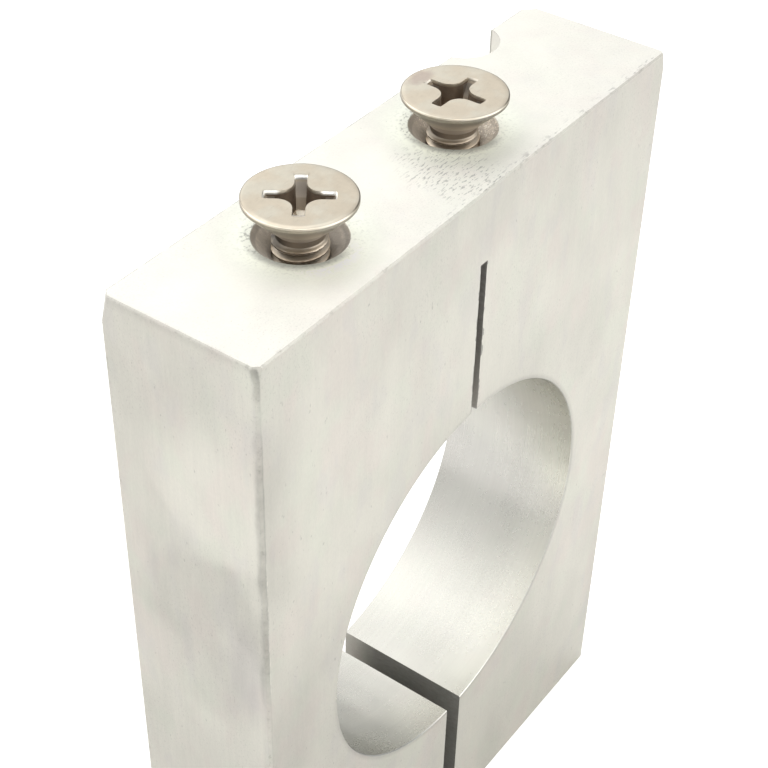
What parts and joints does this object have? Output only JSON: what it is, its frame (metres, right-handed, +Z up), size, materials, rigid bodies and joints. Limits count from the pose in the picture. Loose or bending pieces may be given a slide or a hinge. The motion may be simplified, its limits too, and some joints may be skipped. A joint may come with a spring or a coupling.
{
  "type": "capacitor mounting block",
  "caption": "Upright aluminium split clamp block with a large bore for a can capacitor, a pinch slit, a flex slot and countersunk screws in its mounting face.",
  "frame": {"origin": "middle of the bore, on its axis and halfway through the block's thickness", "axes": "+Y along the bore, from the front face to the back face; +Z up, from the bore to the mounting face with the countersunk screws; +X along the block, towards the end with the notch"},
  "size_m": [0.075, 0.0192, 0.1103],
  "materials": {
    "aluminium": "milled and tumbled, fine upright grain, matt with soft cloudy sheen",
    "nickel_steel": "warm nickel plate, satin",
    "zinc_steel": "plain zinc plate, satin"
  },
  "bodies": {
    "clamp_block": {"block": "aluminium", "pinch_screw": "zinc_steel"},
    "near_screw": {"near_mount_screw": "nickel_steel"},
    "far_screw": {"far_mount_screw": "nickel_steel"}
  },
  "joints": [
    {"name": "near_screw_travel", "type": "slide", "parent": "clamp_block", "child": "near_screw", "axis": [0, 0, 1], "range_m": [-0.00325, 0]},
    {"name": "far_screw_travel", "type": "slide", "parent": "clamp_block", "child": "far_screw", "axis": [0, 0, 1], "range_m": [-0.00275, 0]}
  ]
}
